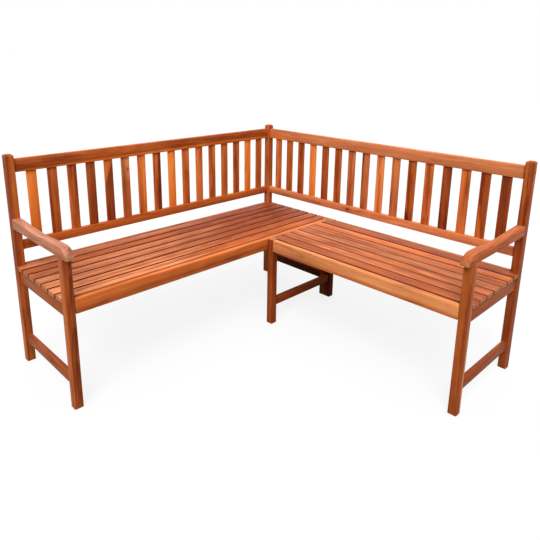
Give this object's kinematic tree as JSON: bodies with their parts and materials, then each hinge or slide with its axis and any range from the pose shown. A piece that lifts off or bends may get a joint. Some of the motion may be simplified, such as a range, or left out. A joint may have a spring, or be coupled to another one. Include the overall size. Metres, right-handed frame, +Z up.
{
  "type": "corner bench",
  "caption": "L-shaped slatted garden corner bench in oiled hardwood, with high slatted backs and an armrest at each free end.",
  "frame": {"origin": "on the floor, under the middle of the square that the two wings span", "axes": "+Z up; the left wing runs along X with its back towards +Y, the right wing runs along Y with its back towards +X, and they meet at the corner post at +X +Y"},
  "size_m": [1.48, 1.48, 0.9],
  "materials": {
    "posts": "oiled hardwood, red-brown heartwood, satin, square section with eased edges",
    "rails": "oiled hardwood, mid red-brown with darker streaks, satin, eased edges",
    "armrests": "oiled hardwood, pinkish tan where hands rest, satin",
    "seat_slats": "oiled hardwood, salmon-brown, satin, rounded top edges, sawn end grain",
    "back_slats": "oiled hardwood, boards from bright sapwood orange to dark heartwood, satin"
  },
  "bodies": {
    "root": {"corner_post": "posts", "left_armrest": "armrests", "left_back_slat_01": "back_slats", "left_back_slat_02": "back_slats", "left_back_slat_03": "back_slats", "left_back_slat_04": "back_slats", "left_back_slat_05": "back_slats", "left_back_slat_06": "back_slats", "left_back_slat_07": "back_slats", "left_back_slat_08": "back_slats", "left_back_slat_09": "back_slats", "left_back_slat_10": "back_slats", "left_back_slat_11": "back_slats", "left_back_slat_12": "back_slats", "left_back_slat_13": "back_slats", "left_back_slat_14": "back_slats", "left_back_slat_15": "back_slats", "left_back_slat_16": "back_slats", "left_end_rail": "rails", "left_end_stretcher": "rails", "left_front_apron": "rails", "left_front_leg": "posts", "left_inner_leg": "posts", "left_inner_rail": "rails", "left_inner_stretcher": "rails", "left_lower_rail": "rails", "left_rear_apron": "rails", "left_rear_post": "posts", "left_seat_panel": "seat_slats", "left_top_rail": "rails", "right_armrest": "armrests", "right_back_slat_01": "back_slats", "right_back_slat_02": "back_slats", "right_back_slat_03": "back_slats", "right_back_slat_04": "back_slats", "right_back_slat_05": "back_slats", "right_back_slat_06": "back_slats", "right_back_slat_07": "back_slats", "right_back_slat_08": "back_slats", "right_back_slat_09": "back_slats", "right_back_slat_10": "back_slats", "right_back_slat_11": "back_slats", "right_back_slat_12": "back_slats", "right_back_slat_13": "back_slats", "right_back_slat_14": "back_slats", "right_back_slat_15": "back_slats", "right_back_slat_16": "back_slats", "right_end_rail": "rails", "right_end_stretcher": "rails", "right_front_apron": "rails", "right_front_leg": "posts", "right_inner_front_leg": "posts", "right_inner_rail": "rails", "right_inner_rear_leg": "posts", "right_inner_stretcher": "rails", "right_lower_rail": "rails", "right_rear_apron": "rails", "right_rear_post": "posts", "right_seat_panel": "seat_slats", "right_top_rail": "rails"}
  },
  "joints": []
}
